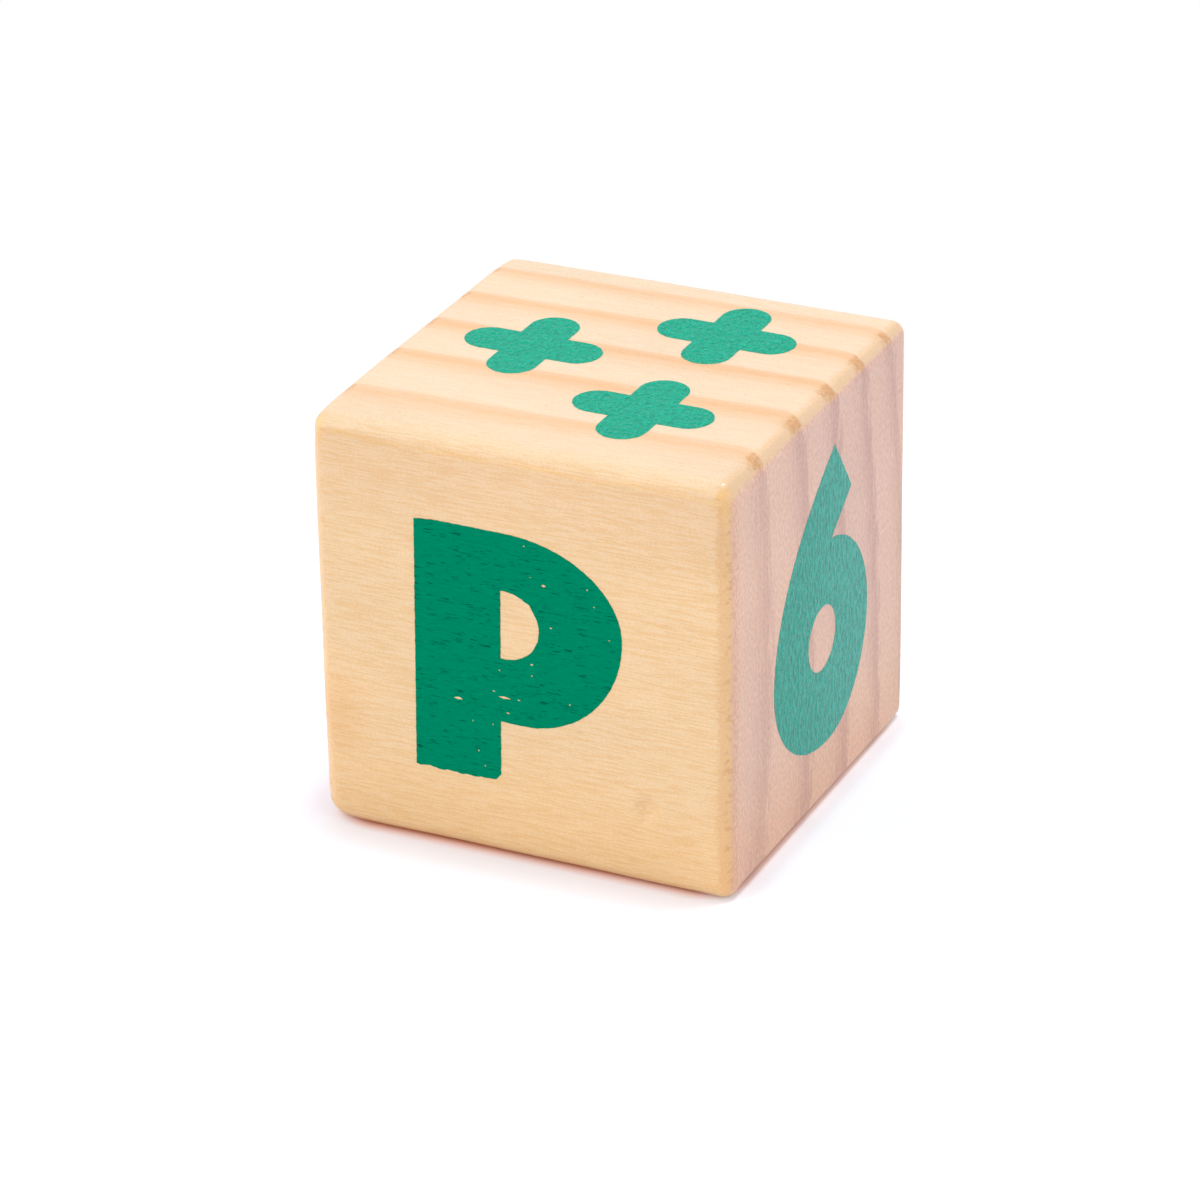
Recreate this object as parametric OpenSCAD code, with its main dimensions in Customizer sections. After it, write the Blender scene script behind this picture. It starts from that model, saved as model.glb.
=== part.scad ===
// Wooden alphabet block: one solid pine cube with sanded edges.
// Each face carries plain marks, stamped a little into the wood and filled level with green ink.
// Frame: +X to the right along the letter face, -Y out of the letter face, +Z up.
// The origin is the centre of the bottom face.

/* [Block] */
// Length of each side of the cube
block_side = 40; // [36:1:60]
// Radius of the sanded edges and corners
edge_r = 1.6; // [1:0.1:2.5]

/* [Stamping] */
// Depth of the stamped recesses, which the ink fills level
stamp_depth = 0.2; // [0.1:0.05:0.5]

/* [Letters on the front and back] */
// Height of a letter
letter_h = 24.3; // [21:0.1:27]
// Overall width of the front letter
letter_w = 19.9; // [17:0.1:23]
// Width of the front letter's stem
letter_stem_w = 8.3; // [5:0.1:9.5]
// Height of the front letter's bowl, down from the top
letter_bowl_h = 18.3; // [14:0.1:20]
// Height of the opening in the bowl
letter_counter_h = 6.6; // [4:0.1:8]
// Width of the opening in the bowl
letter_counter_w = 3.7; // [2:0.1:5]
// Turn of the front letter's print on its face, in degrees
letter_turn = -0.9; // [-3:0.1:3]
// Overall width of the back letter
back_letter_w = 20.4; // [18:0.1:23]
// Width of each stem of the back letter
back_stem_w = 7.2; // [5:0.1:8]
// Height of the back letter's crossbar
back_bar_h = 6.4; // [4:0.1:8]

/* [Numerals on the right and left] */
// Height of a numeral
numeral_h = 28.7; // [24:0.1:31]
// Overall width of the right numeral
numeral_w = 21.4; // [18:0.1:24]
// Radius of the round opening in the right numeral
numeral_counter_r = 3.1; // [2:0.1:4]
// Radius of the left numeral's upper ring
upper_ring_r = 7.2; // [6:0.1:8]
// How far the left numeral's two rings run into each other
ring_overlap = 2.9; // [1:0.1:4]
// Radius of the opening in the lower ring
lower_counter_r = 2.9; // [1.5:0.1:4]
// Radius of the opening in the upper ring
upper_counter_r = 2.2; // [1.2:0.1:3]

/* [Signs on the top and bottom] */
// Length of a sign, tip to tip
sign_l = 13.2; // [10:0.1:13.4]
// Width of a sign's arm, whose tip is a half circle
sign_arm_w = 4.6; // [3:0.1:5]

/* [Hidden] */

wood_colour = [0.93, 0.79, 0.60];
ink_colour = [0.05, 0.60, 0.46];

half_side = block_side / 2;
straight_side = block_side - 2 * edge_r;
corner_at = half_side - edge_r;

// How far a recess's cutter runs past the face
overrun = edge_r / 2;

// Facets of a full circle: on the block, on an ink mark, and steps of a drawn curve
edge_fn = 64;
mark_fn = 96;
curve_steps = 24;

// Where each print sits on its face, right and up from the face's centre, as shares of the side
front_letter_place_share = [-0.008, -0.008];
right_numeral_place_share = [0.001, 0.008];
back_letter_place_share = [0.006, 0.004];
left_numeral_place_share = [-0.004, 0.006];
sign_place_shares = [[0.165, 0.243], [-0.210, 0.027], [0.159, -0.196]];
REAR = 0;
LEFT = 1;
FRONT = 2;

// Small turns of the prints on their faces, in degrees
sign_turn = -0.5;
back_letter_turn = 0.6;
left_numeral_turn = -0.4;

// Front letter: where its curved bowl starts along the top and the bottom, as shares of the width
bowl_top_start_share = 0.442;
bowl_bottom_start_share = 0.528;
// How high the bowl is widest and the opening is centred, as shares of the bowl's height
bowl_widest_share = 0.547;
counter_centre_share = 0.518;

// Right numeral: outline points as shares of its width and height, from the lower left corner
flank_start_shares = [0, 0.355];
flank_control_shares = [0, 0.694];
tip_shares = [0.631, 1];
inner_tip_shares = [0.812, 0.808];
bowl_bottom_share = 0.576;
bowl_top_centre_share = 0.517;
bowl_top_share = 0.697;
notch_angle = 80;
counter_place_shares = [0.506, 0.378];

// Points of an elliptical arc about a centre, with its two half axes, between two angles
function arc(centre, half_w, half_h, from, to) = [
    for (i = [0 : curve_steps])
        let (a = from + (to - from) * i / curve_steps)
            centre + [half_w * cos(a), half_h * sin(a)]
];

// Points of a curve that leaves the first point towards the middle one and arrives at the last
function bend(first, middle, last) = [
    for (i = [0 : curve_steps])
        let (t = i / curve_steps)
            (1 - t) * (1 - t) * first + 2 * t * (1 - t) * middle + t * t * last
];

// Each face's own frame: drawing plane on the face, x to its right, y up, z out of the wood
module on_front() {
    translate([0, -half_side, half_side]) rotate([90, 0, 0]) children();
}

module on_back() {
    translate([0, half_side, half_side]) rotate([90, 0, 180]) children();
}

module on_right() {
    translate([half_side, 0, half_side]) rotate([90, 0, 90]) children();
}

module on_left() {
    translate([-half_side, 0, half_side]) rotate([90, 0, -90]) children();
}

module on_top() {
    translate([0, 0, block_side]) children();
}

module on_bottom() {
    rotate([180, 0, 0]) children();
}

// Front letter, a heavy P drawn about its own centre
module front_letter_outline() {
    left = -letter_w / 2;
    low = -letter_h / 2;
    bowl_low = letter_h / 2 - letter_bowl_h;
    widest = bowl_low + bowl_widest_share * letter_bowl_h;
    top_start = left + bowl_top_start_share * letter_w;
    bottom_start = left + bowl_bottom_start_share * letter_w;
    stem_right = left + letter_stem_w;
    counter_y = bowl_low + counter_centre_share * letter_bowl_h;
    counter_half_h = letter_counter_h / 2;
    counter_start = stem_right + max(0, letter_counter_w - counter_half_h);
    difference() {
        polygon(concat(
            [[left, low], [stem_right, low], [stem_right, bowl_low]],
            arc([bottom_start, widest], -left - bottom_start, widest - bowl_low, -90, 0),
            arc([top_start, widest], -left - top_start, letter_h / 2 - widest, 0, 90),
            [[left, letter_h / 2]]
        ));
        polygon(concat(
            [[stem_right, counter_y - counter_half_h]],
            arc([counter_start, counter_y], stem_right + letter_counter_w - counter_start,
                counter_half_h, -90, 90),
            [[stem_right, counter_y + counter_half_h]]
        ));
    }
}

// Back letter, an H of two stems and a crossbar
module back_letter_outline() {
    for (side = [-1, 1])
        translate([side * (back_letter_w - back_stem_w) / 2, 0])
            square([back_stem_w, letter_h], center = true);
    square([back_letter_w - back_stem_w, back_bar_h], center = true);
}

// Right numeral, a geometric 6: a round bowl with a straight-cut stroke that leans over it
module right_numeral_outline() {
    size = [numeral_w, numeral_h];
    corner = -size / 2;
    function at(shares) = corner + [shares[0] * size[0], shares[1] * size[1]];
    side_y = at(flank_start_shares)[1];
    bottom_x = at([bowl_bottom_share, 0])[0];
    top_x = at([bowl_top_centre_share, 0])[0];
    bowl_drop = side_y - corner[1];
    bowl_rise = (bowl_top_share - flank_start_shares[1]) * numeral_h;
    difference() {
        polygon(concat(
            bend(at(tip_shares), at(flank_control_shares), at(flank_start_shares)),
            arc([bottom_x, side_y], bottom_x - corner[0], bowl_drop, 180, 270),
            arc([bottom_x, side_y], -corner[0] - bottom_x, bowl_drop, 270, 360),
            arc([top_x, side_y], -corner[0] - top_x, bowl_rise, 0, notch_angle),
            [at(inner_tip_shares)]
        ));
        translate(at(counter_place_shares)) circle(r = numeral_counter_r, $fn = mark_fn);
    }
}

// Left numeral, an 8 of two rings that run into each other and fill its height
module left_numeral_outline() {
    lower_ring_r = (numeral_h + ring_overlap) / 2 - upper_ring_r;
    lower_y = -numeral_h / 2 + lower_ring_r;
    upper_y = numeral_h / 2 - upper_ring_r;
    difference() {
        union() {
            translate([0, lower_y]) circle(r = lower_ring_r, $fn = mark_fn);
            translate([0, upper_y]) circle(r = upper_ring_r, $fn = mark_fn);
        }
        translate([0, lower_y]) circle(r = lower_counter_r, $fn = mark_fn);
        translate([0, upper_y]) circle(r = upper_counter_r, $fn = mark_fn);
    }
}

// One arm of a sign: a bar with half-round ends
module sign_bar() {
    straight = sign_l - sign_arm_w;
    square([straight, sign_arm_w], center = true);
    for (side = [-1, 1])
        translate([side * straight / 2, 0]) circle(d = sign_arm_w, $fn = mark_fn);
}

module plus_outline() {
    sign_bar();
    rotate(90) sign_bar();
}

// Moves a drawing to its place on the face, with its small turn
module print_at(place_share, turn) {
    translate([place_share[0] * block_side, place_share[1] * block_side]) rotate(turn) children();
}

module front_letter_print() {
    print_at(front_letter_place_share, letter_turn) front_letter_outline();
}

module back_letter_print() {
    print_at(back_letter_place_share, back_letter_turn) back_letter_outline();
}

module right_numeral_print() {
    print_at(right_numeral_place_share, 0) right_numeral_outline();
}

module left_numeral_print() {
    print_at(left_numeral_place_share, left_numeral_turn) left_numeral_outline();
}

module plus_print(which) {
    print_at(sign_place_shares[which], sign_turn) plus_outline();
}

// Each minus sign lies straight below the plus sign on the top
module minus_print(which) {
    place = sign_place_shares[which];
    print_at([place[0], -place[1]], sign_turn) sign_bar();
}

// Ink fills a recess from its floor to the face
module ink() {
    color(ink_colour)
        translate([0, 0, -stamp_depth]) linear_extrude(height = stamp_depth) children();
}

// The cutter of a recess has the ink's outline and floor, and runs out past the face
module recess() {
    translate([0, 0, -stamp_depth]) linear_extrude(height = stamp_depth + overrun) children();
}

// The sanded cube is three crossing slabs, round rods on its edges and balls in its corners
module crossing_slabs() {
    cube([block_side, straight_side, straight_side], center = true);
    cube([straight_side, block_side, straight_side], center = true);
    cube([straight_side, straight_side, block_side], center = true);
}

module edge_rod() {
    cylinder(h = straight_side, r = edge_r, center = true, $fn = edge_fn);
}

module edge_rods() {
    for (a = [-1, 1], b = [-1, 1]) {
        translate([a * corner_at, b * corner_at, 0]) edge_rod();
        translate([a * corner_at, 0, b * corner_at]) rotate([90, 0, 0]) edge_rod();
        translate([0, a * corner_at, b * corner_at]) rotate([0, 90, 0]) edge_rod();
    }
}

module corner_balls() {
    for (a = [-1, 1], b = [-1, 1], c = [-1, 1])
        translate([a * corner_at, b * corner_at, c * corner_at]) sphere(r = edge_r, $fn = edge_fn);
}

module sanded_cube() {
    translate([0, 0, half_side]) {
        crossing_slabs();
        edge_rods();
        corner_balls();
    }
}

module wood_block() {
    color(wood_colour) difference() {
        sanded_cube();
        on_front() recess() front_letter_print();
        on_back() recess() back_letter_print();
        on_right() recess() right_numeral_print();
        on_left() recess() left_numeral_print();
        for (which = [REAR, LEFT, FRONT]) {
            on_top() recess() plus_print(which);
            on_bottom() recess() minus_print(which);
        }
    }
}

module front_letter_ink() {
    on_front() ink() front_letter_print();
}

module back_letter_ink() {
    on_back() ink() back_letter_print();
}

module right_numeral_ink() {
    on_right() ink() right_numeral_print();
}

module left_numeral_ink() {
    on_left() ink() left_numeral_print();
}

module top_plus_ink(which) {
    on_top() ink() plus_print(which);
}

module bottom_minus_ink(which) {
    on_bottom() ink() minus_print(which);
}

wood_block();
front_letter_ink();
back_letter_ink();
right_numeral_ink();
left_numeral_ink();
top_plus_ink(REAR);  // top_plus_ink_rear
top_plus_ink(LEFT);  // top_plus_ink_left
top_plus_ink(FRONT);  // top_plus_ink_front
bottom_minus_ink(REAR);  // bottom_minus_ink_rear
bottom_minus_ink(LEFT);  // bottom_minus_ink_left
bottom_minus_ink(FRONT);  // bottom_minus_ink_front
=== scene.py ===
import math
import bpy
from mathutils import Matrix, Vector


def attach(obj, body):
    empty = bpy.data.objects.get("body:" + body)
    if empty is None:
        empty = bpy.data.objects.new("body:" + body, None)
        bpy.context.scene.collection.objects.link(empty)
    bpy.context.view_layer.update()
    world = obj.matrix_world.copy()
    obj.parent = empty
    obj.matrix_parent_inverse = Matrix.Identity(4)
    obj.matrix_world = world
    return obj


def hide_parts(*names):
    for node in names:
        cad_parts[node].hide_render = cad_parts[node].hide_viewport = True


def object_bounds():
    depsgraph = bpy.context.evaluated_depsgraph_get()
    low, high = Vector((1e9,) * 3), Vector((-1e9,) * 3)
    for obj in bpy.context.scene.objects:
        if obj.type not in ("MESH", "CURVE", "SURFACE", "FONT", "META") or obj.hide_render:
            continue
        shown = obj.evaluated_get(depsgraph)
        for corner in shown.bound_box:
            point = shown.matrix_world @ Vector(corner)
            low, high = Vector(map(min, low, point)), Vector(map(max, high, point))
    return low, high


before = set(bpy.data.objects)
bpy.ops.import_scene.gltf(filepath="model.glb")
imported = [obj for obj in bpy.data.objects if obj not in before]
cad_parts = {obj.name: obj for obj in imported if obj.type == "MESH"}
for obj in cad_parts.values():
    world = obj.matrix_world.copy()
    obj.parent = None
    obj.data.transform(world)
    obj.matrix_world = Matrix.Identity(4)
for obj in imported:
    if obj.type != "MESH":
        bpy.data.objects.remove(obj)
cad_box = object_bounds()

from types import SimpleNamespace

import bmesh
import bpy
from mathutils import Matrix, Vector, noise

# Camera
# A long lens looks down on the letter face from the front right. The angles and the distance
# come from the outline of the block in the photograph, which a cube fits to within half a pixel.
MM = 0.001
SIDE = cad_box[1].x - cad_box[0].x
HALF = SIDE / 2
CENTRE = Vector((0, 0, HALF))

VIEW_AZIMUTH = math.radians(25.03)
VIEW_ELEVATION = math.radians(26.09)
VIEW_ROLL = math.radians(-0.71)
VIEW_DISTANCE = 488.98 * MM
VIEW_LEFT_OF_CENTRE = 1.467 * MM
VIEW_BELOW_CENTRE = 2.859 * MM
FOCAL_PIXELS = 5435.7
PICTURE_PIXELS = 1200
SENSOR = 36

toward_camera = Vector((
    math.sin(VIEW_AZIMUTH) * math.cos(VIEW_ELEVATION),
    -math.cos(VIEW_AZIMUTH) * math.cos(VIEW_ELEVATION),
    math.sin(VIEW_ELEVATION),
))
level_right = Vector((math.cos(VIEW_AZIMUTH), math.sin(VIEW_AZIMUTH), 0))
level_up = toward_camera.cross(level_right)
picture_right = math.cos(VIEW_ROLL) * level_right + math.sin(VIEW_ROLL) * level_up
picture_up = -math.sin(VIEW_ROLL) * level_right + math.cos(VIEW_ROLL) * level_up
camera_place = (
    CENTRE
    + toward_camera * VIEW_DISTANCE
    - picture_right * VIEW_LEFT_OF_CENTRE
    - picture_up * VIEW_BELOW_CENTRE
)

camera_data = bpy.data.cameras.new("camera")
camera_data.sensor_width = SENSOR
camera_data.lens = FOCAL_PIXELS * SENSOR / PICTURE_PIXELS
camera = bpy.data.objects.new("camera", camera_data)
camera.matrix_world = (
    Matrix.Translation(camera_place)
    @ Matrix((picture_right, picture_up, toward_camera)).transposed().to_4x4()
)
bpy.context.scene.collection.objects.link(camera)
bpy.context.scene.camera = camera

# Pine block
# One cube of planed pine, grain along X. The growth rings cross the top as bands and the ends as
# upright arcs, so the front and back lie along the rings. The edges were rounded by hand on a
# sander, so each corner differs, and the whole was lacquered.
CELLS = 120
WOOD_BELOW_FACE = 0.012 * MM
EARLYWOOD_SUNK = 0.02 * MM
FACE_WAVES, FACE_WAVES_PER_MM = 0.02 * MM, 0.16
DENT_X, DENT_Z, DENT_R, DENT_DEPTH = 11.95 * MM, 7.75 * MM, 1.25 * MM, 0.42 * MM
FACING_FRONT = -0.9
UV_ROWS, UV_COLUMNS, UV_MARGIN = 2, 3, 0.01

# Radius of each rounded edge at its two ends, in millimetres. The key is the axis that the edge
# runs along and the side it lies on along the other two.
EDGES = {
    (0, -1, -1): (1.90, 1.45),
    (0, -1, 1): (1.95, 1.95),
    (0, 1, -1): (1.50, 1.20),
    (0, 1, 1): (1.60, 1.25),
    (1, -1, -1): (1.80, 1.60),
    (1, -1, 1): (0.90, 1.52),
    (1, 1, -1): (1.60, 0.90),
    (1, 1, 1): (1.60, 1.30),
    (2, -1, -1): (1.65, 0.95),
    (2, 1, -1): (1.75, 1.65),
    (2, -1, 1): (1.60, 1.60),
    (2, 1, 1): (0.75, 1.35),
}
EDGE_FOCUS = 14
EDGE_UNEVEN, EDGE_UNEVEN_PER_MM = 0.10, 0.11
# What the radius gains at each corner, in millimetres
TIPS = {
    (-1, -1, -1): 0.4,
    (1, -1, -1): -0.2,
    (-1, 1, -1): 0.4,
    (1, 1, -1): 0.3,
    (-1, -1, 1): 0.4,
    (1, -1, 1): 0.2,
    (-1, 1, 1): 0.5,
    (1, 1, 1): 0.0,
}
TIP_REACH = 3.5 * MM

# Growth rings: the count rises along Y, from millimetres about the block's centre
RINGS_AT_CENTRE = 2.313
RINGS_PER_MM = 0.1221
RINGS_CROWD = 0.00100
RINGS_LEAN = 0.00724
RINGS_BOW = 0.000469
RINGS_FAN = 0.00063
RINGS_DRIFT = -0.0027
RINGS_SWEEP = -0.14
SWEEP_START, SWEEP_END = 20.3, 17.3
LATE_FROM, LATE_TO, LATE_CURVE = 0.5, 0.97, 1.5


def ring_number(p):
    """How many growth rings lie below a point, given in millimetres from the block's centre."""
    along_y = RINGS_PER_MM + RINGS_CROWD * p.y + RINGS_FAN * p.z
    along_z = RINGS_LEAN + RINGS_BOW * p.z
    swept = min(1, max(0, (SWEEP_START - p.x) / (SWEEP_START - SWEEP_END)))
    swept = RINGS_SWEEP * swept * swept * (3 - 2 * swept)
    return RINGS_AT_CENTRE + p.y * along_y + p.z * along_z + RINGS_DRIFT * p.x + swept


def latewood(p):
    """Share of dense latewood at a point: it builds up through a ring and ends at once."""
    phase = ring_number(p) % 1
    if phase < LATE_TO:
        return max(0, (phase - LATE_FROM) / (1 - LATE_FROM)) ** LATE_CURVE
    return (1 - phase) / (1 - LATE_TO)


def clamp(value, limit):
    return max(-limit, min(limit, value))


def edge_radius(p, at_mm):
    """Radius of the rounding at a point of the square cube: that of the edge it lies nearest."""
    radius = weights = 0
    for (axis, *sides), ends in EDGES.items():
        near = 1
        for along, side in zip([p[i] for i in range(3) if i != axis], sides):
            near *= ((1 + side * along / HALF) / 2) ** EDGE_FOCUS
        share = (1 + p[axis] / HALF) / 2
        radius += near * (ends[0] + (ends[1] - ends[0]) * share)
        weights += near
    radius /= weights
    for corner, tip in TIPS.items():
        for along, side in zip(p, corner):
            tip *= max(0, 1 - (HALF - side * along) / TIP_REACH)
        radius += tip
    return radius * MM * (1 + EDGE_UNEVEN * noise.noise(at_mm * EDGE_UNEVEN_PER_MM))


def rounded(p, at_mm):
    """A point of the square cube moved onto the unevenly rounded one, and its way out there."""
    straight = HALF - edge_radius(p, at_mm)
    core = Vector([clamp(along, straight) for along in p])
    outward = (p - core).normalized()
    return core + outward * (HALF - straight), outward


def lay_out_faces(bm):
    """One square of the picture map for each face of the block."""
    layer = bm.loops.layers.uv.new("OFBake")
    for face in bm.faces:
        axis = max(range(3), key=lambda i: abs(face.normal[i]))
        row = int(face.normal[axis] > 0)
        across, up = [i for i in range(3) if i != axis]
        for loop in face.loops:
            u = (loop.vert.co[across] / SIDE + 0.5) * (1 - 2 * UV_MARGIN) + UV_MARGIN
            v = (loop.vert.co[up] / SIDE + 0.5) * (1 - 2 * UV_MARGIN) + UV_MARGIN
            loop[layer].uv = ((axis + u) / UV_COLUMNS, (row + v) / UV_ROWS)


def block_mesh():
    """A fine grid of the cube's faces, rounded, then sunk where the wood is soft or dented."""
    bm = bmesh.new()
    bmesh.ops.create_cube(bm, size=SIDE)
    bmesh.ops.subdivide_edges(bm, edges=bm.edges[:], cuts=CELLS - 1, use_grid_fill=True)
    bm.normal_update()
    lay_out_faces(bm)
    for vert in bm.verts:
        at_mm = vert.co / MM
        point, outward = rounded(vert.co, at_mm)
        sunk = WOOD_BELOW_FACE
        sunk += EARLYWOOD_SUNK * (1 - latewood(at_mm)) * (1 - abs(outward.x))
        sunk += FACE_WAVES * (0.5 + 0.5 * noise.noise(at_mm * FACE_WAVES_PER_MM))
        if outward.y < FACING_FRONT:
            reach = math.hypot(point.x - DENT_X, point.z + HALF - DENT_Z) / DENT_R
            sunk += DENT_DEPTH * max(0, 1 - reach * reach)
        vert.co = point - outward * sunk + CENTRE
    for face in bm.faces:
        face.smooth = True
    mesh = bpy.data.meshes.new("pine_block")
    bm.to_mesh(mesh)
    bm.free()
    return mesh


def add_node(tree, kind, inputs=None, **settings):
    """Adds a node, sets its options, and links or sets the inputs given by name or number."""
    made = tree.nodes.new(kind)
    for option, value in settings.items():
        setattr(made, option, value)
    for key, value in (inputs or {}).items():
        if isinstance(value, bpy.types.NodeSocket):
            tree.links.new(value, made.inputs[key])
        else:
            made.inputs[key].default_value = value
    return made


def maths(tree, operation, *values):
    return add_node(tree, "ShaderNodeMath", dict(enumerate(values)), operation=operation).outputs[0]


def product(tree, value, *others):
    """Values multiplied together, which for masks is where all of them hold."""
    for other in others:
        value = maths(tree, "MULTIPLY", value, other)
    return value


def vector_maths(tree, operation, *vectors):
    """One step of vector arithmetic: LENGTH gives a number, and any other operation a vector."""
    made = add_node(tree, "ShaderNodeVectorMath", dict(enumerate(vectors)), operation=operation)
    return made.outputs["Value" if operation == "LENGTH" else "Vector"]


def grain_noise(tree, at_mm, stretch, detail=2.0, roughness=0.5):
    """Noise from 0 to 1, with stretch features to the millimetre along each axis."""
    made = add_node(tree, "ShaderNodeTexNoise",
                    {"Vector": vector_maths(tree, "MULTIPLY", at_mm, stretch), "Scale": 1.0,
                     "Detail": detail, "Roughness": roughness})
    return made.outputs["Fac"]


def around_zero(tree, pattern):
    return maths(tree, "SUBTRACT", pattern, 0.5)


def rise(tree, value, low, high, start=0.0, end=1.0):
    """A smooth step from start to end, as value goes from low to high."""
    made = add_node(tree, "ShaderNodeMapRange",
                    {"Value": value, "From Min": low, "From Max": high, "To Min": start,
                     "To Max": end}, interpolation_type="SMOOTHSTEP")
    return made.outputs["Result"]


def band(tree, value, starts, full, fades, ends):
    """A mask that rises between the first two places and falls between the last two."""
    return product(tree, rise(tree, value, starts, full), rise(tree, value, ends, fades))


def blend(tree, factor, a, b, mode="MIX"):
    """Colour a turning into b, or into their product or sum, as the factor goes from 0 to 1."""
    return add_node(tree, "ShaderNodeMix", {0: factor, 6: a, 7: b}, data_type="RGBA",
                    blend_type=mode).outputs[2]


def ramp(tree, value, stops):
    """A curve of grey values through (place, grey) stops."""
    made = add_node(tree, "ShaderNodeValToRGB", {"Fac": value})
    elements = made.color_ramp.elements
    made.color_ramp.interpolation = "EASE"
    while len(elements) < len(stops):
        elements.new(0.5)
    for element, (place, grey) in zip(elements, stops):
        element.position = place
        element.color = (grey, grey, grey, 1)
    return made.outputs["Color"]


# How fine each pattern of the wood is: features per millimetre along X, Y and Z
WANDERING = (0.05, 0.22, 0.22)
FEATHERING = (0.1, 2.2, 0.30)
HAIR_LINES = (0.40, 7.4, 7.4)
FINE_GRAIN = (4.5, 6.0, 6.0)
STREAKS = (0.05, 0.9, 0.9)
CLOUDS = (0.04, 0.10, 0.10)
PITH_SPECKS = (1.0, 4.4, 2.1)
FLECKS = (0.6, 2.6, 2.6)
RAGGED = (1.6, 1.6, 1.6)
GRANULAR = (4.0, 4.0, 4.0)
FRAYED = (1.3, 1.3, 1.9)
RUN_DOWN = (0.35, 0.35, 0.35)
# From where to where each pattern tells, in its own values
MOST_OF_A_PATTERN = (0.3, 0.7)
DRIFT_SPAN = (0.25, 0.75)
HAIR_LINE_SPAN = (0.40, 0.62)
FLECK_SPAN = (0.73, 0.80)
GRANULE_SPAN = (0.25, 0.60)
FRAYED_SPAN = (0.54, 0.66)
LACQUER_GAPS = (-0.14, 0.10)
BROWN_IN_LATEWOOD = (0.35, 0.80)
STREAK_SPREAD, CLOUD_SPREAD, FLECK_SHARE = 0.006, 0.03, 0.3

# Shade of the wood through one ring, and how it fades away from the strongest ring
RING_PROFILE = ((0.0, 0.70), (0.075, 0.08), (0.14, 0.0), (0.40, 0.04), (0.60, 0.20),
                (0.77, 0.58), (0.90, 0.95), (1.0, 0.75))
RINGS_WANDER, RINGS_FEATHER = 0.16, 0.5
STRONG_RING, STRONG_SHADE, WEAK_SHADE, SHADE_FALL = 2.93, 1.1, 0.7, -0.06

# From where to where each tone sets in, in millimetres about the block's centre
END_STARTS = (17.0, 18.0)
END_BEHIND, BEHIND_PER_Z = (-8.0, 10.0), 0.5
END_LOW_CORNER, LOW_CORNER_PER_Z = (6.0, 17.0), -0.6
END_HIGH_Z, END_HIGH_Y = (2.0, 14.0), (12.0, 2.0)
END_FAR_Y, END_FAR_Z = (3.0, 13.0), (13.0, 6.0)
# Painted light on the left upright edges fades out over this span along X
LEFT_TO_RIGHT = (-15.0, 15.0)
TIP_HEIGHT = (16.0, 19.0)
LACQUER_LINE = (18.10, 18.40, 18.55, 18.90)
# Painted shade near the floor sets in over this span along Z
LOW_DOWN = (-6.0, -19.0)
HIGH_UP = (8.0, 17.0)
TOP_FRONT = (-14.0, -18.0)
# A faint tan smudge on the left of the front face
SMUDGE_PLACE, SMUDGE_REACH = (-18.5, -20.0, -8.5), (5.0, 4.0, 6.0)
SMUDGE_RIM = (1.0, 0.2)

# How squarely the surface faces one axis, from 0 to 1, where each tone begins and where it is full
ON_END = (0.80, 0.93)
FLAT_TO_RADIAL = (0.25, 0.85)
OUT_OF_SQUARE = (0.98, 0.85)
SIDE_TO_EDGE = (0.05, 0.40)
EDGE_TO_END, END_OFF_TOP = (0.70, 0.90), -0.25
PALE_TO_WORN = (0.35, 0.60)
UPRIGHT_TO_LEVEL = (0.1, 0.6)
BROWN_EDGE = (0.0, 0.30, 0.80, 0.97)
FRAYED_EDGE = (0.38, 0.68, 0.80, 0.96)
ON_UPRIGHTS = (0.5, 0.2)
TIP_EDGE, TIP_OFF_TOP = (0.08, 0.32, 0.50, 0.78), (0.80, 0.55)
LACQUER_FACE = (0.80, 0.90)
HIGH_FACE = (0.8, 0.95)
TOP_FRONT_FACE = (0.4, 0.8)
LINES_OFF_END, LINES_ON_TOP = (0.6, 0.1), (0.6, 0.9)
# How far the ragged pattern frays the border of each tone
END_FRAY, BROWN_FRAY, TIP_FRAY, SMUDGE_FRAY = 0.35, 0.5, 2.0, 0.6

# Colours are linear
EARLYWOOD = (0.865, 0.610, 0.352, 1)
LATEWOOD = (0.830, 0.530, 0.270, 1)
# Radial colours for the top and bottom: paler, partly for the radial cut and partly as painted
# light for the brighter top
RADIAL_EARLYWOOD_WITH_PAINTED_LIGHT = (0.830, 0.640, 0.450, 1)
RADIAL_LATEWOOD_WITH_PAINTED_LIGHT = (0.815, 0.478, 0.243, 1)
END_EARLYWOOD = (0.775, 0.482, 0.365, 1)
END_LATEWOOD = (0.610, 0.338, 0.268, 1)
# Painted shade low down near the floor: darker and warmer
LOW_PAINTED_SHADE = (0.99, 0.935, 0.83, 1)
HIGH_TINT = (0.960, 0.935, 0.945, 1)
END_FRONT_TINT = (1.00, 0.98, 0.94, 1)
END_BACK_TINT = (0.945, 0.925, 0.95, 1)
END_HIGH_TINT = (1.03, 1.045, 1.06, 1)
END_FAR_TINT = (1.025, 1.045, 1.07, 1)
TOP_FRONT_TINT = (1.00, 0.995, 0.95, 1)
SMUDGE_TINT = (0.975, 0.90, 0.80, 1)
EDGE_PALE = (0.850, 0.580, 0.350, 1)
EDGE_WORN = (0.770, 0.530, 0.330, 1)
EDGE_TAN = (0.848, 0.538, 0.268, 1)
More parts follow.
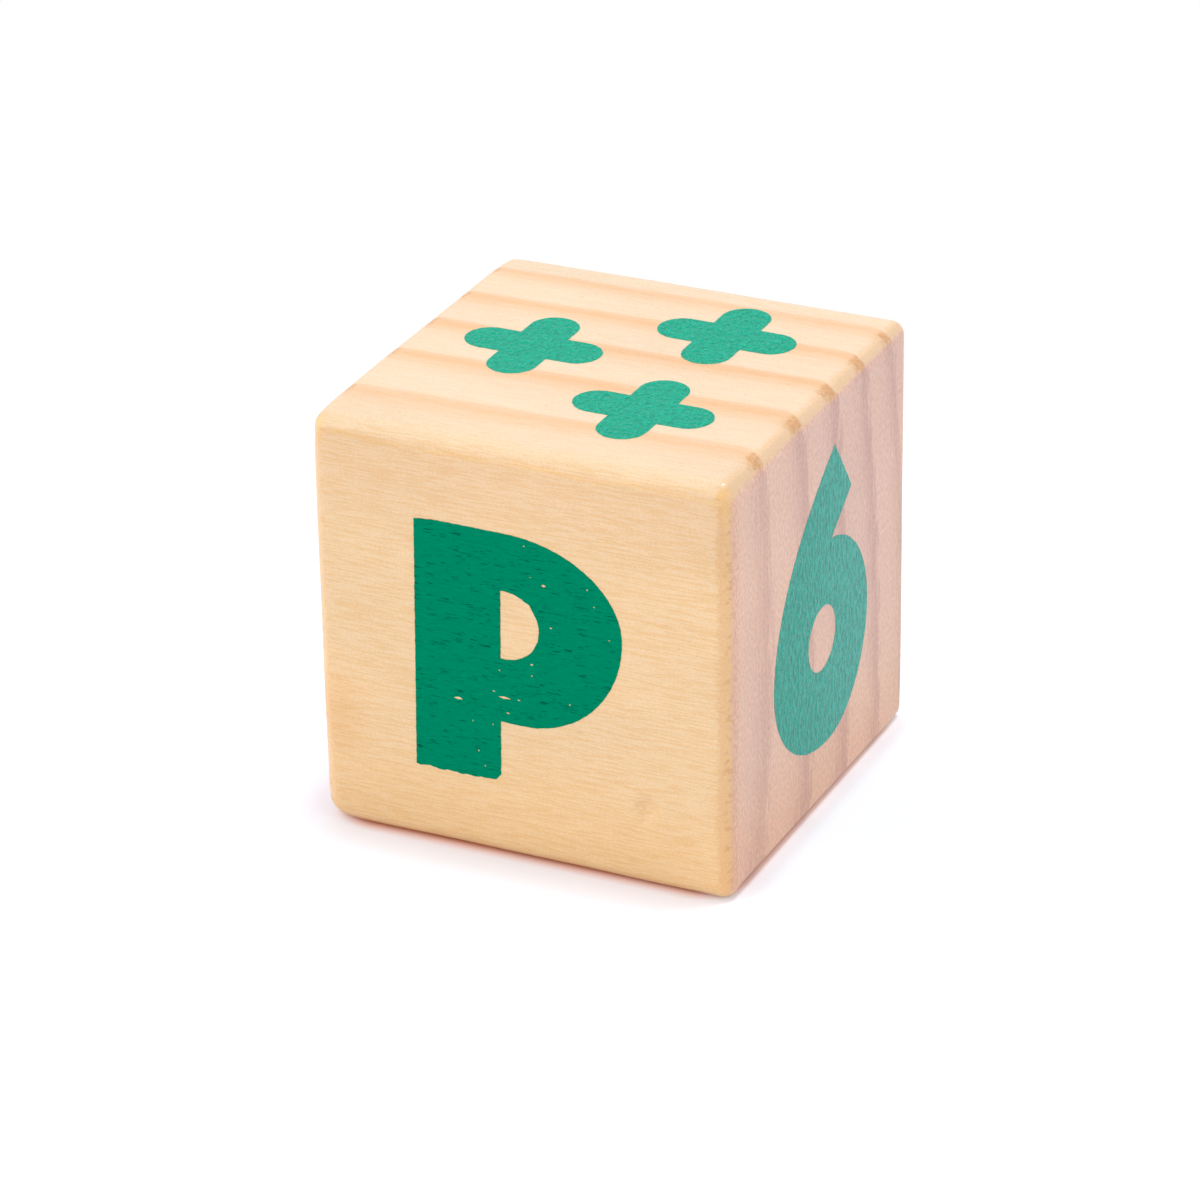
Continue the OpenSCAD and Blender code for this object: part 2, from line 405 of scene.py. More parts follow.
# Painted light: the upright edges are paler on the left
EDGE_LEFT_PAINTED_LIGHT = (0.880, 0.610, 0.355, 1)
EDGE_GOLD = (0.900, 0.610, 0.300, 1)
TIP_GOLD = (0.890, 0.530, 0.185, 1)
EDGE_TINT = (1.00, 0.99, 0.96, 1)
BROWN_TINT = (0.79, 0.57, 0.34, 1)
FLECK_BROWN = (0.60, 0.34, 0.17, 1)
LINE_TINT = (0.960, 0.890, 0.770, 1)
GRAIN_DARK = (0.975, 0.955, 0.91, 1)
GRAIN_LIGHT = (1.02, 1.035, 1.07, 1)
SPECK_DARK = (0.87, 0.84, 0.80, 1)
SPECK_LIGHT = (1.09, 1.11, 1.15, 1)


def place_in_block(tree):
    """Where a point lies, in millimetres about the block's centre, how squarely its surface faces
    along each axis, and the ragged pattern there."""
    place = add_node(tree, "ShaderNodeTexCoord")
    at = SimpleNamespace()
    at.centred = add_node(tree, "ShaderNodeMapping",
                          {"Vector": place.outputs["Object"], "Location": (0, 0, -HALF / MM),
                           "Scale": (1 / MM, 1 / MM, 1 / MM)}).outputs[0]
    at.x, at.y, at.z = add_node(tree, "ShaderNodeSeparateXYZ", {0: at.centred}).outputs
    normal = add_node(tree, "ShaderNodeSeparateXYZ", {0: place.outputs["Normal"]}).outputs
    face_x, at.face_y, at.face_z = [maths(tree, "ABSOLUTE", part) for part in normal]
    at.face_x = product(tree, face_x, rise(tree, maths(tree, "ABSOLUTE", at.x), *END_STARTS))
    at.on_end = rise(tree, at.face_x, *ON_END)
    ragged = grain_noise(tree, at.centred, RAGGED, detail=3.0, roughness=0.6)
    at.ragged = around_zero(tree, ragged)
    return at


def latewood_shade(tree, at):
    """How dark the rings are at a point, counted as ring_number does, with some wandering."""
    across = maths(tree, "MULTIPLY_ADD", at.y, RINGS_CROWD, RINGS_PER_MM)
    across = maths(tree, "MULTIPLY_ADD", at.z, RINGS_FAN, across)
    upward = maths(tree, "MULTIPLY_ADD", at.z, RINGS_BOW, RINGS_LEAN)
    rings = maths(tree, "MULTIPLY_ADD", at.y, across, RINGS_AT_CENTRE)
    rings = maths(tree, "MULTIPLY_ADD", at.z, upward, rings)
    rings = maths(tree, "MULTIPLY_ADD", at.x, RINGS_DRIFT, rings)
    swept = rise(tree, at.x, SWEEP_END, SWEEP_START, start=RINGS_SWEEP, end=0.0)
    rings = maths(tree, "ADD", rings, swept)
    wander = around_zero(tree, grain_noise(tree, at.centred, WANDERING, detail=3.0))
    rings = maths(tree, "MULTIPLY_ADD", wander, RINGS_WANDER, rings)
    feather = around_zero(tree, grain_noise(tree, at.centred, FEATHERING))
    feather = product(tree, feather, at.on_end)
    phase = maths(tree, "FRACT", maths(tree, "MULTIPLY_ADD", feather, RINGS_FEATHER, rings))
    off_strongest = maths(tree, "POWER", maths(tree, "SUBTRACT", rings, STRONG_RING), 2.0)
    strength = maths(tree, "MULTIPLY_ADD", off_strongest, SHADE_FALL, STRONG_SHADE)
    strength = maths(tree, "MAXIMUM", strength, WEAK_SHADE)
    return product(tree, ramp(tree, phase, RING_PROFILE), strength)


def end_grain(tree, at, late):
    """Pinker and darker than the long faces, and cooler away from the front edge."""
    end = blend(tree, late, END_EARLYWOOD, END_LATEWOOD)
    behind = rise(tree, maths(tree, "MULTIPLY_ADD", at.z, BEHIND_PER_Z, at.y), *END_BEHIND)
    low_corner = maths(tree, "MULTIPLY_ADD", at.z, LOW_CORNER_PER_Z, at.y)
    low_corner = rise(tree, low_corner, *END_LOW_CORNER, start=1.0, end=0.1)
    tint = blend(tree, product(tree, behind, low_corner), END_FRONT_TINT, END_BACK_TINT)
    end = blend(tree, 1.0, end, tint, "MULTIPLY")
    high = product(tree, rise(tree, at.z, *END_HIGH_Z), rise(tree, at.y, *END_HIGH_Y))
    end = blend(tree, high, end, END_HIGH_TINT, "MULTIPLY")
    far = product(tree, rise(tree, at.y, *END_FAR_Y), rise(tree, at.z, *END_FAR_Z))
    return blend(tree, far, end, END_FAR_TINT, "MULTIPLY")


def worn_edges_and_painted_light(tree, at, late, side, end):
    """Side and end colours joined over the rounded edges, which are tan, brown where they cut
    latewood, frayed along the uprights and golden at the top corners. Painted light makes the
    upright edges paler on the left."""
    squareness = maths(tree, "MAXIMUM", maths(tree, "MAXIMUM", at.face_x, at.face_y), at.face_z)
    toward_end = maths(tree, "MULTIPLY_ADD", at.ragged, END_FRAY, at.face_x)
    into_end = maths(tree, "MULTIPLY_ADD", at.face_z, END_OFF_TOP, toward_end)
    level = blend(tree, rise(tree, toward_end, *PALE_TO_WORN), EDGE_PALE, EDGE_WORN)
    # Painted light: upright edges paler on the left, fading out toward the right
    upright = blend(tree, rise(tree, at.x, *LEFT_TO_RIGHT), EDGE_LEFT_PAINTED_LIGHT, EDGE_TAN)
    edge = blend(tree, rise(tree, at.face_z, *UPRIGHT_TO_LEVEL), upright, level)
    colour = blend(tree, rise(tree, squareness, *OUT_OF_SQUARE), side, EDGE_TINT, "MULTIPLY")
    colour = blend(tree, rise(tree, toward_end, *SIDE_TO_EDGE), colour, edge)
    colour = blend(tree, rise(tree, into_end, *EDGE_TO_END), colour, end)

    cut_late = maths(tree, "MULTIPLY_ADD", at.ragged, BROWN_FRAY, late)
    granules = grain_noise(tree, at.centred, GRANULAR)
    brown = product(tree, rise(tree, cut_late, *BROWN_IN_LATEWOOD, start=0.06),
                    rise(tree, granules, *GRANULE_SPAN, start=0.45),
                    band(tree, toward_end, *BROWN_EDGE))
    colour = blend(tree, brown, colour, BROWN_TINT, "MULTIPLY")

    frayed = grain_noise(tree, at.centred, FRAYED, detail=3.0)
    frayed = product(tree, rise(tree, frayed, *FRAYED_SPAN), band(tree, toward_end, *FRAYED_EDGE),
                     rise(tree, at.face_z, *ON_UPRIGHTS, end=0.42))
    colour = blend(tree, frayed, colour, BROWN_TINT, "MULTIPLY")

    tip = maths(tree, "MULTIPLY_ADD", at.ragged, TIP_FRAY, at.z)
    tip = product(tree, rise(tree, tip, *TIP_HEIGHT, end=0.75),
                  rise(tree, at.face_z, *TIP_OFF_TOP), band(tree, at.face_x, *TIP_EDGE))
    return blend(tree, tip, colour, TIP_GOLD)


def lacquer_line(tree, at):
    """Where lacquer has run to a thin line just under the top edge of the long faces."""
    height = around_zero(tree, grain_noise(tree, at.centred, RUN_DOWN))
    height = maths(tree, "ADD", height, at.z)
    return product(tree, band(tree, height, *LACQUER_LINE), rise(tree, at.face_y, *LACQUER_FACE),
                   rise(tree, at.ragged, *LACQUER_GAPS, start=0.25))


def smudge(tree, at):
    reached = vector_maths(tree, "SUBTRACT", at.centred, SMUDGE_PLACE)
    reached = vector_maths(tree, "MULTIPLY", reached, [1 / reach for reach in SMUDGE_REACH])
    reached = vector_maths(tree, "LENGTH", reached)
    reached = maths(tree, "MULTIPLY_ADD", at.ragged, SMUDGE_FRAY, reached)
    return rise(tree, reached, *SMUDGE_RIM)


def pine_figure():
    """Colour and relief of the pine, inside and out, from where a point lies in the block."""
    tree = bpy.data.node_groups.new("pine_figure", "ShaderNodeTree")
    for name, kind in (("Color", "NodeSocketColor"), ("Height", "NodeSocketFloat")):
        tree.interface.new_socket(name, in_out="OUTPUT", socket_type=kind)
    at = place_in_block(tree)
    late = latewood_shade(tree, at)
    flat_sawn = blend(tree, late, EARLYWOOD, LATEWOOD)
    # The top and bottom take the paler radial colours, partly painted light
    radial_with_painted_light = blend(tree, late, RADIAL_EARLYWOOD_WITH_PAINTED_LIGHT, RADIAL_LATEWOOD_WITH_PAINTED_LIGHT)
    side = blend(tree, rise(tree, at.face_z, *FLAT_TO_RADIAL), flat_sawn, radial_with_painted_light)
    colour = worn_edges_and_painted_light(tree, at, late, side, end_grain(tree, at, late))
    colour = blend(tree, lacquer_line(tree, at), colour, EDGE_GOLD)

    # Drifts of tone over the long faces, and painted shade that makes the wood darker and warmer
    # low down near the floor
    low = rise(tree, at.z, *LOW_DOWN)
    high = product(tree, rise(tree, at.z, *HIGH_UP), rise(tree, at.face_y, *HIGH_FACE))
    top_front = product(tree, rise(tree, at.y, *TOP_FRONT), rise(tree, at.face_z, *TOP_FRONT_FACE))
    for share, tint in ((low, LOW_PAINTED_SHADE), (high, HIGH_TINT), (top_front, TOP_FRONT_TINT),
                        (smudge(tree, at), SMUDGE_TINT)):
        colour = blend(tree, share, colour, tint, "MULTIPLY")

    # Fibres along the grain, read as fine lines on the long faces and as specks on the ends
    hair_lines = grain_noise(tree, at.centred, HAIR_LINES, detail=1.0)
    fine_grain = grain_noise(tree, at.centred, FINE_GRAIN, detail=1.0)
    pith_specks = grain_noise(tree, at.centred, PITH_SPECKS, roughness=0.6)
    lines = product(tree, rise(tree, hair_lines, *HAIR_LINE_SPAN),
                    rise(tree, at.face_x, *LINES_OFF_END),
                    rise(tree, at.face_z, *LINES_ON_TOP, start=1.0, end=0.5))
    colour = blend(tree, lines, colour, LINE_TINT, "MULTIPLY")
    grain = blend(tree, rise(tree, fine_grain, *MOST_OF_A_PATTERN), GRAIN_DARK, GRAIN_LIGHT)
    specks = blend(tree, rise(tree, pith_specks, *MOST_OF_A_PATTERN), SPECK_DARK, SPECK_LIGHT)
    colour = blend(tree, 1.0, colour, blend(tree, at.on_end, grain, specks), "MULTIPLY")
    for stretch, spread in ((STREAKS, STREAK_SPREAD), (CLOUDS, CLOUD_SPREAD)):
        grey = grain_noise(tree, at.centred, stretch)
        grey = rise(tree, grey, *DRIFT_SPAN, start=1 - spread, end=1 + spread)
        colour = blend(tree, 1.0, colour, grey, "MULTIPLY")
    fleck = rise(tree, grain_noise(tree, at.centred, FLECKS, detail=1.0), *FLECK_SPAN)
    colour = blend(tree, product(tree, fleck, FLECK_SHARE), colour, FLECK_BROWN)

    height = maths(tree, "MULTIPLY_ADD", fine_grain, 0.5, hair_lines)
    height = blend(tree, at.on_end, height, pith_specks)
    out = add_node(tree, "NodeGroupOutput")
    for value, socket in zip((colour, height), out.inputs):
        tree.links.new(value, socket)
    return tree


def new_material(name):
    material = bpy.data.materials.new(name)
    material.use_nodes = True
    return material, material.node_tree, material.node_tree.nodes["Principled BSDF"]


def add_relief(tree, surface, height, strength, depth):
    relief = add_node(tree, "ShaderNodeBump", {"Height": height, "Strength": strength,
                                               "Distance": depth})
    tree.links.new(relief.outputs["Normal"], surface.inputs["Normal"])


GLOSS_SPAN, GLOSSIEST, DULLEST = (0.3, 1.3), 0.42, 0.56
GRAIN_STRENGTH, GRAIN_DEPTH = 0.6, 0.03 * MM
LACQUER, LACQUER_ROUGHNESS = 0.45, 0.10

pine, tree, surface = new_material("lacquered_pine")
figure = add_node(tree, "ShaderNodeGroup", node_tree=pine_figure())
tree.links.new(figure.outputs["Color"], surface.inputs["Base Color"])
dullness = rise(tree, figure.outputs["Height"], *GLOSS_SPAN, start=GLOSSIEST, end=DULLEST)
tree.links.new(dullness, surface.inputs["Roughness"])
add_relief(tree, surface, figure.outputs["Height"], GRAIN_STRENGTH, GRAIN_DEPTH)
surface.inputs["Coat Weight"].default_value = LACQUER
surface.inputs["Coat Roughness"].default_value = LACQUER_ROUGHNESS

block = bpy.data.objects.new("pine_block", block_mesh())
bpy.context.scene.collection.objects.link(block)
block.data.materials.append(pine)
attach(block, "root")
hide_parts("wood_block")

# Ink marks
# Each mark is one film of green ink, pressed on by a stamp. It fills the pores unevenly, misses
# some hollows of the wood and has a slightly ragged rim. The outline is the frame's own mark.
RIM_STEP = 0.16 * MM
RIM_RAGGED = 0.035 * MM
INK_BELOW_FACE = 0.003 * MM
INK_DEPTH = 0.15 * MM
SAME_POINT = 0.001 * MM
FACING_OUT = 0.99

FACES = {
    "front": Vector((0, -1, 0)),
    "back": Vector((0, 1, 0)),
    "right": Vector((1, 0, 0)),
    "left": Vector((-1, 0, 0)),
    "top": Vector((0, 0, 1)),
    "bottom": Vector((0, 0, -1)),
}

# Hollows that the front letter missed: centre along X and Z, length and height, in millimetres
MISSED = (
    (-1.67, 15.96, 1.25, 0.20), (-6.17, 15.00, 0.90, 0.20), (-1.33, 14.50, 0.43, 0.13),
    (1.04, 19.71, 0.30, 0.16), (2.29, 27.58, 0.48, 0.19), (2.92, 23.63, 0.33, 0.13),
    (4.67, 16.54, 0.19, 0.16), (-4.29, 10.21, 0.19, 0.16), (-3.67, 8.83, 0.14, 0.21),
    (6.46, 28.00, 0.16, 0.18), (0.50, 31.04, 0.19, 0.13), (1.04, 18.63, 0.16, 0.13),
    (8.46, 23.54, 0.24, 0.10), (7.08, 26.46, 0.22, 0.10), (-2.71, 16.42, 0.30, 0.10),
    (-0.29, 15.96, 0.30, 0.10), (-4.79, 13.08, 0.16, 0.13), (-2.83, 13.08, 0.16, 0.13),
    (1.04, 28.13, 0.16, 0.10), (-2.08, 18.54, 0.19, 0.10),
)
HOLLOW_POINTS, HOLLOW_WOBBLE, HOLLOW_WAVES, HOLLOW_FULLNESS = 14, 0.35, 3, 1.4
# Places where its rim was dragged: centre and reach, and the push along X and Z, in millimetres
DRAGGED = (
    (-2.10, 7.60, 0.55, -0.30, 0.28),
    (0.95, 25.50, 0.50, 0.16, 0.16),
    (-10.10, 32.00, 2.20, 0.0, -0.22),
    (-2.90, 7.30, 1.80, 0.0, 0.20),
)
# Its lower rim is more ragged than the rest
LOWER_RIM_RAGGED = 0.13 * MM
LOWER_RIM_Z = 7.95 * MM
# Unevenness of a rim, coarse and fine: waves per millimetre, and the share of the fine ones
RIM_WAVES, RIM_FINE_WAVES, RIM_FINE_SHARE = 1.7, 4.1, 0.6
LOWER_WAVES, LOWER_FINE_WAVES, LOWER_FINE_SHARE = 1.1, 3.7, 0.5
RIM_SEED = 1


def drag_rim(bm):
    for x, z, reach, push_x, push_z in DRAGGED:
        for vert in bm.verts:
            near = max(0, 1 - math.hypot(vert.co.x / MM - x, vert.co.z / MM - z) / reach)
            vert.co += Vector((push_x, 0, push_z)) * near * MM


def missed_hollow(bm, x, z, length, height):
    """The rim of one small lens-shaped hole in the front letter."""
    ring = bmesh.ops.create_circle(bm, cap_ends=False, radius=0.5, segments=HOLLOW_POINTS)
    for vert in ring["verts"]:
        waves = Vector((x * HOLLOW_WAVES, z * HOLLOW_WAVES, 0)) + vert.co * HOLLOW_WAVES
        wobble = 1 + HOLLOW_WOBBLE * noise.noise(waves)
        across = vert.co.x * length * wobble
        up = vert.co.y * height * wobble * (1 - abs(vert.co.x)) * HOLLOW_FULLNESS
        vert.co = Vector(((x + across) * MM, -HALF, (z + up) * MM))


def ink_film(node):
    """A thin film with the outline of a stamped mark, a ragged rim and the holes that it left."""
    outward = FACES[node.split("_")[0]]
    bm = bmesh.new()
    bm.from_mesh(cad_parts[node].data)
    bmesh.ops.remove_doubles(bm, verts=bm.verts[:], dist=SAME_POINT)
    bm.normal_update()
    buried = [face for face in bm.faces if face.normal.dot(outward) < FACING_OUT]
    bmesh.ops.delete(bm, geom=buried, context="FACES")
    inner = [edge for edge in bm.edges if not edge.is_boundary]
    bmesh.ops.delete(bm, geom=inner, context="EDGES_FACES")
    for edge in bm.edges[:]:
        cuts = int(edge.calc_length() / RIM_STEP)
        if cuts:
            bmesh.ops.subdivide_edges(bm, edges=[edge], cuts=cuts)
    if node == "front_letter_ink":
        drag_rim(bm)
        for hollow in MISSED:
            missed_hollow(bm, *hollow)
    for vert in bm.verts:
        at = vert.co / MM
        shift = noise.noise_vector(at * RIM_WAVES)
        shift += RIM_FINE_SHARE * noise.noise_vector(at * RIM_FINE_WAVES)
        shift = shift * RIM_RAGGED
        if node == "front_letter_ink" and vert.co.z < LOWER_RIM_Z:
            lower = noise.noise(at * LOWER_WAVES)
            lower += LOWER_FINE_SHARE * noise.noise(at * LOWER_FINE_WAVES)
            shift.z += LOWER_RIM_RAGGED * lower
        shift -= outward * shift.dot(outward)
        vert.co += shift - outward * INK_BELOW_FACE
    bmesh.ops.triangle_fill(bm, edges=bm.edges[:], use_beauty=True)
    solid = bmesh.ops.extrude_face_region(bm, geom=bm.faces[:])
    moved = [part for part in solid["geom"] if isinstance(part, bmesh.types.BMVert)]
    bmesh.ops.translate(bm, verts=moved, vec=-outward * INK_DEPTH)
    bmesh.ops.recalc_face_normals(bm, faces=bm.faces[:])
    mesh = bpy.data.meshes.new(node.replace("_ink", "_film"))
    bm.to_mesh(mesh)
    bm.free()
    return mesh


# Ink on the long faces, the top and the ends, and pores that show through it darker and sunk.
# The ink is the same everywhere: it is painted lighter on the top for the light there, and
# lighter on the ends, most toward the back, for a painted sheen.
LONG_GREEN = (0.0, 0.236, 0.122, 1)
# Painted light on the top, painted sheen on the ends
TOP_GREEN_PAINTED_LIGHT = (0.0, 0.512, 0.328, 1)
END_GREEN_PAINTED_SHEEN, END_BACK_GREEN_PAINTED_SHEEN = (0.0, 0.428, 0.327, 1), (0.04, 0.472, 0.384, 1)
FRONT_TO_BACK = (-9.0, 9.0)
CLUSTER_SIZE, CLUSTER_SHARE = 4, 0.25
PORES_FROM, PORES_TO = 0.94, 0.98
PORE_COVER, PORE_DARKNESS, PORE_DEPTH = 0.8, 0.45, -0.5
INK_GLOSSIEST, INK_DULLEST, INK_STRENGTH = 0.30, 0.46, 1.0


def ink_material(name, colour, back_colour_and_sheen, shine, wrinkle_stretch, pore_stretch, painted_relief_shade_amount,
                 relief, pore_share):
    """Green ink whose relief and pores run with the grain under it, and whose colour turns into
    back_colour_and_sheen from front to back, a painted sheen on the ends. Painted shade makes it
    lighter on the ridges of its relief and darker in its hollows.
    """
    material, tree, surface = new_material(name)
    place = add_node(tree, "ShaderNodeTexCoord").outputs["Object"]
    at_mm = vector_maths(tree, "MULTIPLY", place, (1 / MM, 1 / MM, 1 / MM))
    wrinkles = grain_noise(tree, at_mm, wrinkle_stretch, detail=3.0, roughness=0.6)
    fine = grain_noise(tree, at_mm, pore_stretch)
    clusters = [wrinkle / CLUSTER_SIZE for wrinkle in wrinkle_stretch]
    clusters = grain_noise(tree, at_mm, clusters, detail=1.0)
    pores = maths(tree, "MULTIPLY_ADD", clusters, CLUSTER_SHARE, fine)
    pores = rise(tree, pores, PORES_FROM - pore_share, PORES_TO - pore_share)
    in_pores = [part * PORE_DARKNESS for part in colour[:3]] + [1]
    behind = add_node(tree, "ShaderNodeSeparateXYZ", {0: at_mm}).outputs[1]
    colour = blend(tree, rise(tree, behind, *FRONT_TO_BACK), colour, back_colour_and_sheen)
    # Painted shade of the relief: lighter on its ridges, darker in its hollows
    painted_relief_shade = rise(tree, wrinkles, *MOST_OF_A_PATTERN, start=1 - painted_relief_shade_amount,
                     end=1 + painted_relief_shade_amount)
    shade = blend(tree, 1.0, colour, painted_relief_shade, "MULTIPLY")
    shade = blend(tree, product(tree, pores, PORE_COVER), shade, in_pores)
    tree.links.new(shade, surface.inputs["Base Color"])
    surface.inputs["Specular IOR Level"].default_value = shine
    dullness = rise(tree, fine, *MOST_OF_A_PATTERN, start=INK_GLOSSIEST, end=INK_DULLEST)
    tree.links.new(dullness, surface.inputs["Roughness"])
    height = maths(tree, "MULTIPLY_ADD", pores, PORE_DEPTH, wrinkles)
    add_relief(tree, surface, height, INK_STRENGTH, relief)
    return material


long_ink = ink_material(
    "ink_on_front_and_back", LONG_GREEN, LONG_GREEN, shine=0.0, wrinkle_stretch=(0.6, 5.0, 5.0),
    pore_stretch=(0.75, 9.5, 9.5), painted_relief_shade_amount=0.07, relief=0.13 * MM, pore_share=0.17)
top_ink = ink_material(
    "ink_painted_lit_on_top_and_bottom", TOP_GREEN_PAINTED_LIGHT, TOP_GREEN_PAINTED_LIGHT, shine=0.12, wrinkle_stretch=(2.0, 1.6, 1.6),
    pore_stretch=(4.8, 3.8, 3.8), painted_relief_shade_amount=0.13, relief=1.20 * MM, pore_share=0.0)
end_ink = ink_material(
    "ink_with_painted_sheen_on_ends", END_GREEN_PAINTED_SHEEN, END_BACK_GREEN_PAINTED_SHEEN, shine=0.45, wrinkle_stretch=(1.9, 1.9, 1.1),
    pore_stretch=(4.6, 4.6, 2.6), painted_relief_shade_amount=0.19, relief=1.10 * MM, pore_share=0.03)
INKS = {"front": long_ink, "back": long_ink, "top": top_ink, "bottom": top_ink,
        "right": end_ink, "left": end_ink}

# Unless a seed is set, noise_vector goes by the clock and the rims differ from run to run
noise.seed_set(RIM_SEED)
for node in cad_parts:
    if "_ink" in node:
        film = bpy.data.objects.new(node.replace("_ink", "_film"), ink_film(node))
        bpy.context.scene.collection.objects.link(film)
        film.data.materials.append(INKS[node.split("_")[0]])
        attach(film, "root")
        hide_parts(node)

# Floor and light
# The block stands on a white paper sweep in a white room, under one soft lamp and three weak ones
# around it. The paper is overexposed, so only the faint shadow close to the block shows.
# Close to the block, the warm contact shade, the cooler shade on the right and the way the shadow
# fades are painted into the floor
FLOOR_HALF = 3.0
FLOOR_WHITE = (0.86, 0.86, 0.91, 1)
# Painted shade of the floor at the block's foot, warm from the wood
FLOOR_PAINTED_WARM_SHADE = (0.80, 0.38, 0.20, 1)
RIGHT_SHADE = (0.845, 0.94, 1.0, 1)
# Painted glow that the camera alone sees added to the floor close to the block and farther out,
# which shapes how the shadow fades
NEAR_LIFT = (0.17, 0.16, 0.18, 1)
FAR_LIFT = (0.13, 0.17, 0.20, 1)
FAR_LIFT_RIGHT = (0.09, 0.19, 0.23, 1)
# The block's square on the floor with round corners, from which gaps are measured
CONTACT_HALF = HALF - 4.5 * MM
CONTACT_ROUND = 3.0
# From where to where each tone of the floor changes, in millimetres from that square
WARM_SPAN = (0.3, 2.2)
NEAR_SPAN = (0.0, 1.2)
FAR_SPAN = (1.8, 7.5)
RIGHT_SHADE_SPAN = (2.5, 0.9)
RIGHT_LIFT_SPAN = (5.0, 2.0)
MIRROR_SPAN = (3.0, 12.0)
WHITE_FROM, WHITE_TO = 50 * MM, 100 * MM
# Right of the block: where that side starts, how much sooner the warm tone ends and the far lift
# sets in, how much later the near lift sets in, and how much of it is left
RIGHT_STARTS = (HALF - 1 * MM, HALF + 2 * MM)
RIGHT_WARM_SOONER, RIGHT_FAR_SOONER = 0.75, 0.8
RIGHT_NEAR_LATER, RIGHT_NEAR_SHARE = 0.9, 0.12
WORLD_STRENGTH = 0.80

floor_bm = bmesh.new()
bmesh.ops.create_grid(floor_bm, x_segments=1, y_segments=1, size=FLOOR_HALF)
floor_mesh = bpy.data.meshes.new("floor")
floor_bm.to_mesh(floor_mesh)
floor_bm.free()
floor = bpy.data.objects.new("floor", floor_mesh)
bpy.context.scene.collection.objects.link(floor)

floor_paper, tree, surface = new_material("white_sweep")
output = tree.nodes["Material Output"]
surface.inputs["Roughness"].default_value = 1.0
surface.inputs["Specular IOR Level"].default_value = 0.0
rays = add_node(tree, "ShaderNodeLightPath")
place = add_node(tree, "ShaderNodeTexCoord").outputs["Object"]
outside = vector_maths(tree, "ABSOLUTE", place)
outside = vector_maths(tree, "SUBTRACT", outside, (CONTACT_HALF, CONTACT_HALF, 0))
outside = vector_maths(tree, "MAXIMUM", outside, (0, 0, 0))
gap = maths(tree, "DIVIDE", vector_maths(tree, "LENGTH", outside), MM)
gap = maths(tree, "SUBTRACT", gap, CONTACT_ROUND)
to_right = add_node(tree, "ShaderNodeSeparateXYZ", {0: place}).outputs[0]
to_right = rise(tree, to_right, *RIGHT_STARTS)

# Painted shade: the floor takes a warm, dark tone from the wood beside it, and a cooler tone
# right of the block
sooner = maths(tree, "MULTIPLY_ADD", to_right, RIGHT_WARM_SOONER, 1.0)
warm = rise(tree, product(tree, gap, sooner), *WARM_SPAN)
shade = blend(tree, warm, FLOOR_PAINTED_WARM_SHADE, FLOOR_WHITE)
shaded = product(tree, to_right, rise(tree, gap, *RIGHT_SHADE_SPAN))
shade = blend(tree, shaded, shade, RIGHT_SHADE, "MULTIPLY")
tree.links.new(shade, surface.inputs["Base Color"])

# The picture is overexposed in two steps away from the block by a painted glow that the camera
# alone sees, then turns plain white
later = maths(tree, "MULTIPLY_ADD", to_right, -RIGHT_NEAR_LATER, gap)
near = product(tree, rise(tree, later, *NEAR_SPAN),
               rise(tree, to_right, 0, 1, start=1.0, end=RIGHT_NEAR_SHARE))
near = blend(tree, near, (0, 0, 0, 1), NEAR_LIFT)
sooner = maths(tree, "MULTIPLY_ADD", to_right, RIGHT_FAR_SOONER, 1.0)
beside = product(tree, to_right, rise(tree, gap, *RIGHT_LIFT_SPAN))
far_lift = blend(tree, beside, FAR_LIFT, FAR_LIFT_RIGHT)
far = blend(tree, rise(tree, product(tree, gap, sooner), *FAR_SPAN), (0, 0, 0, 1), far_lift)
seen = rays.outputs["Is Camera Ray"]
lift = add_node(tree, "ShaderNodeEmission", {"Color": blend(tree, 1.0, near, far, "ADD"),
                                             "Strength": seen})
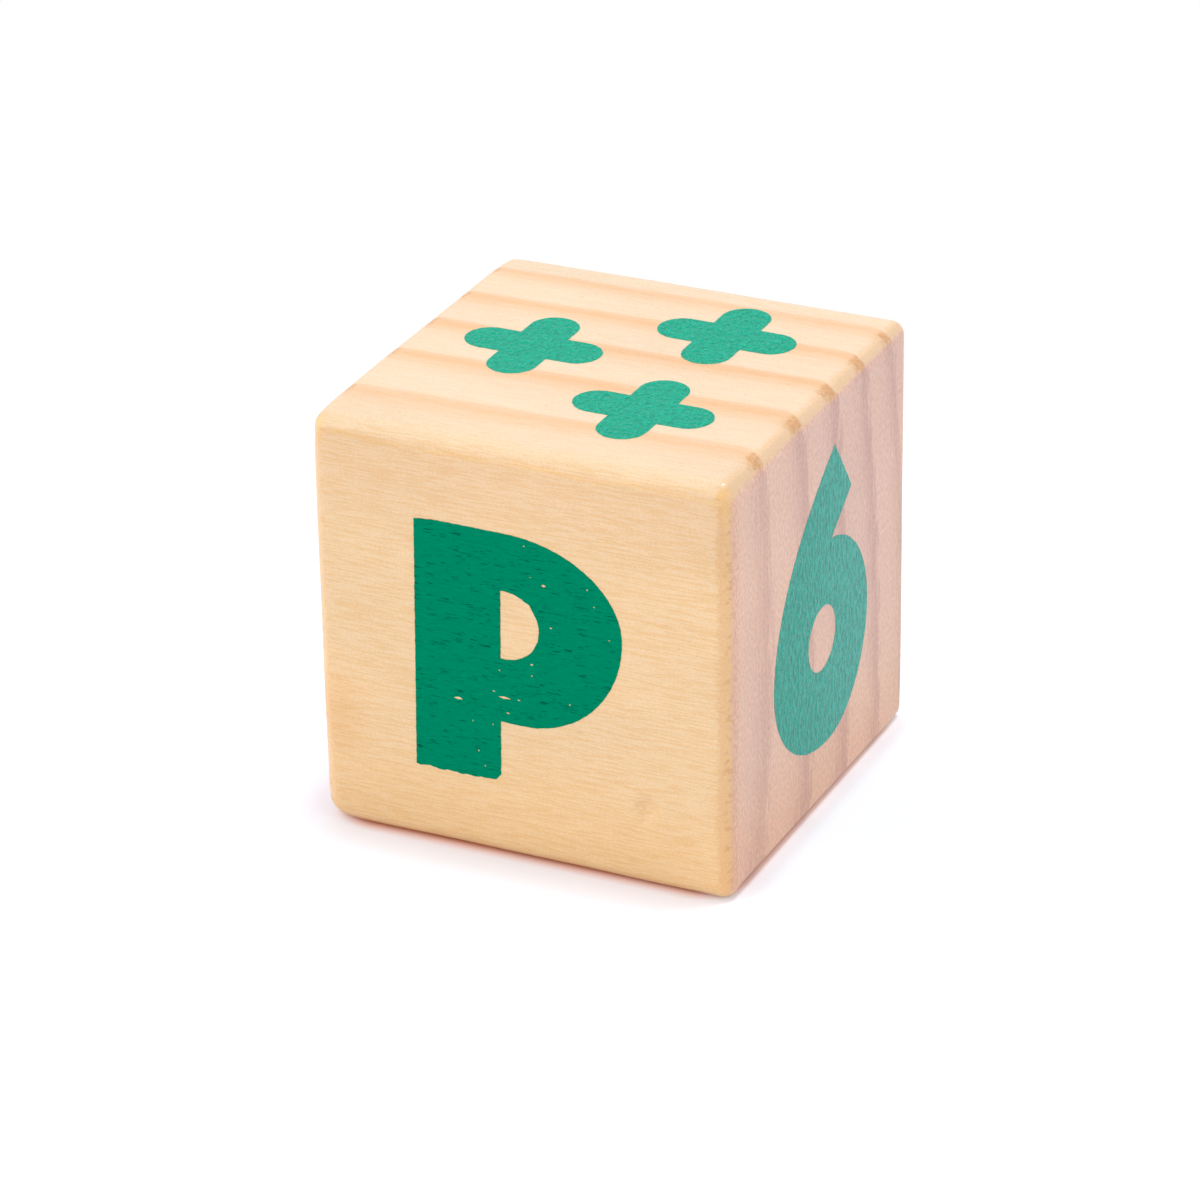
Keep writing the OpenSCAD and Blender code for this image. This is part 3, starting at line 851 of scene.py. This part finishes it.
lit = add_node(tree, "ShaderNodeAddShader", {0: surface.outputs[0], 1: lift.outputs[0]})
away = rise(tree, vector_maths(tree, "LENGTH", place), WHITE_FROM, WHITE_TO)
mirrored = maths(tree, "MAXIMUM", rays.outputs["Is Glossy Ray"],
                 rays.outputs["Is Transmission Ray"])
mirrored = product(tree, mirrored, rise(tree, gap, *MIRROR_SPAN))
to_white = maths(tree, "MAXIMUM", product(tree, seen, away), mirrored)
white = add_node(tree, "ShaderNodeEmission", {"Strength": 1.0})
mixed = add_node(tree, "ShaderNodeMixShader",
                 {0: to_white, 1: lit.outputs[0], 2: white.outputs[0]})
tree.links.new(mixed.outputs[0], output.inputs["Surface"])
floor_mesh.materials.append(floor_paper)

world = bpy.data.worlds.new("white_room")
bpy.context.scene.world = world
world.use_nodes = True
tree = world.node_tree
rays = add_node(tree, "ShaderNodeLightPath")
plain = maths(tree, "MAXIMUM", rays.outputs["Is Camera Ray"], rays.outputs["Is Glossy Ray"])
plain = maths(tree, "MAXIMUM", plain, rays.outputs["Is Transmission Ray"])
strength = maths(tree, "MULTIPLY_ADD", plain, 1 - WORLD_STRENGTH, WORLD_STRENGTH)
tree.links.new(strength, tree.nodes["Background"].inputs["Strength"])
tree.nodes["Background"].inputs["Color"].default_value = (1, 1, 1, 1)

# Square soft lamps that face the block: place and size in metres, and power in watts
LAMPS = {
    "overhead": ((0.14, 0.16, 0.95), 0.20, 2.85),
    "front_left": ((-0.75, -0.75, 0.35), 0.60, 2.9),
    "left": ((-0.95, -0.10, 0.35), 0.60, 1.3),
    "right": ((0.95, -0.10, 0.35), 0.60, 0.5),
}
for name, (place, size, watts) in LAMPS.items():
    lamp = bpy.data.lights.new(name, "AREA")
    lamp.shape = "SQUARE"
    lamp.size = size
    lamp.energy = watts
    light = bpy.data.objects.new(name, lamp)
    light.location = place
    light.rotation_euler = (CENTRE - Vector(place)).to_track_quat("-Z", "Y").to_euler()
    bpy.context.scene.collection.objects.link(light)

bpy.context.scene.view_settings.view_transform = "Standard"
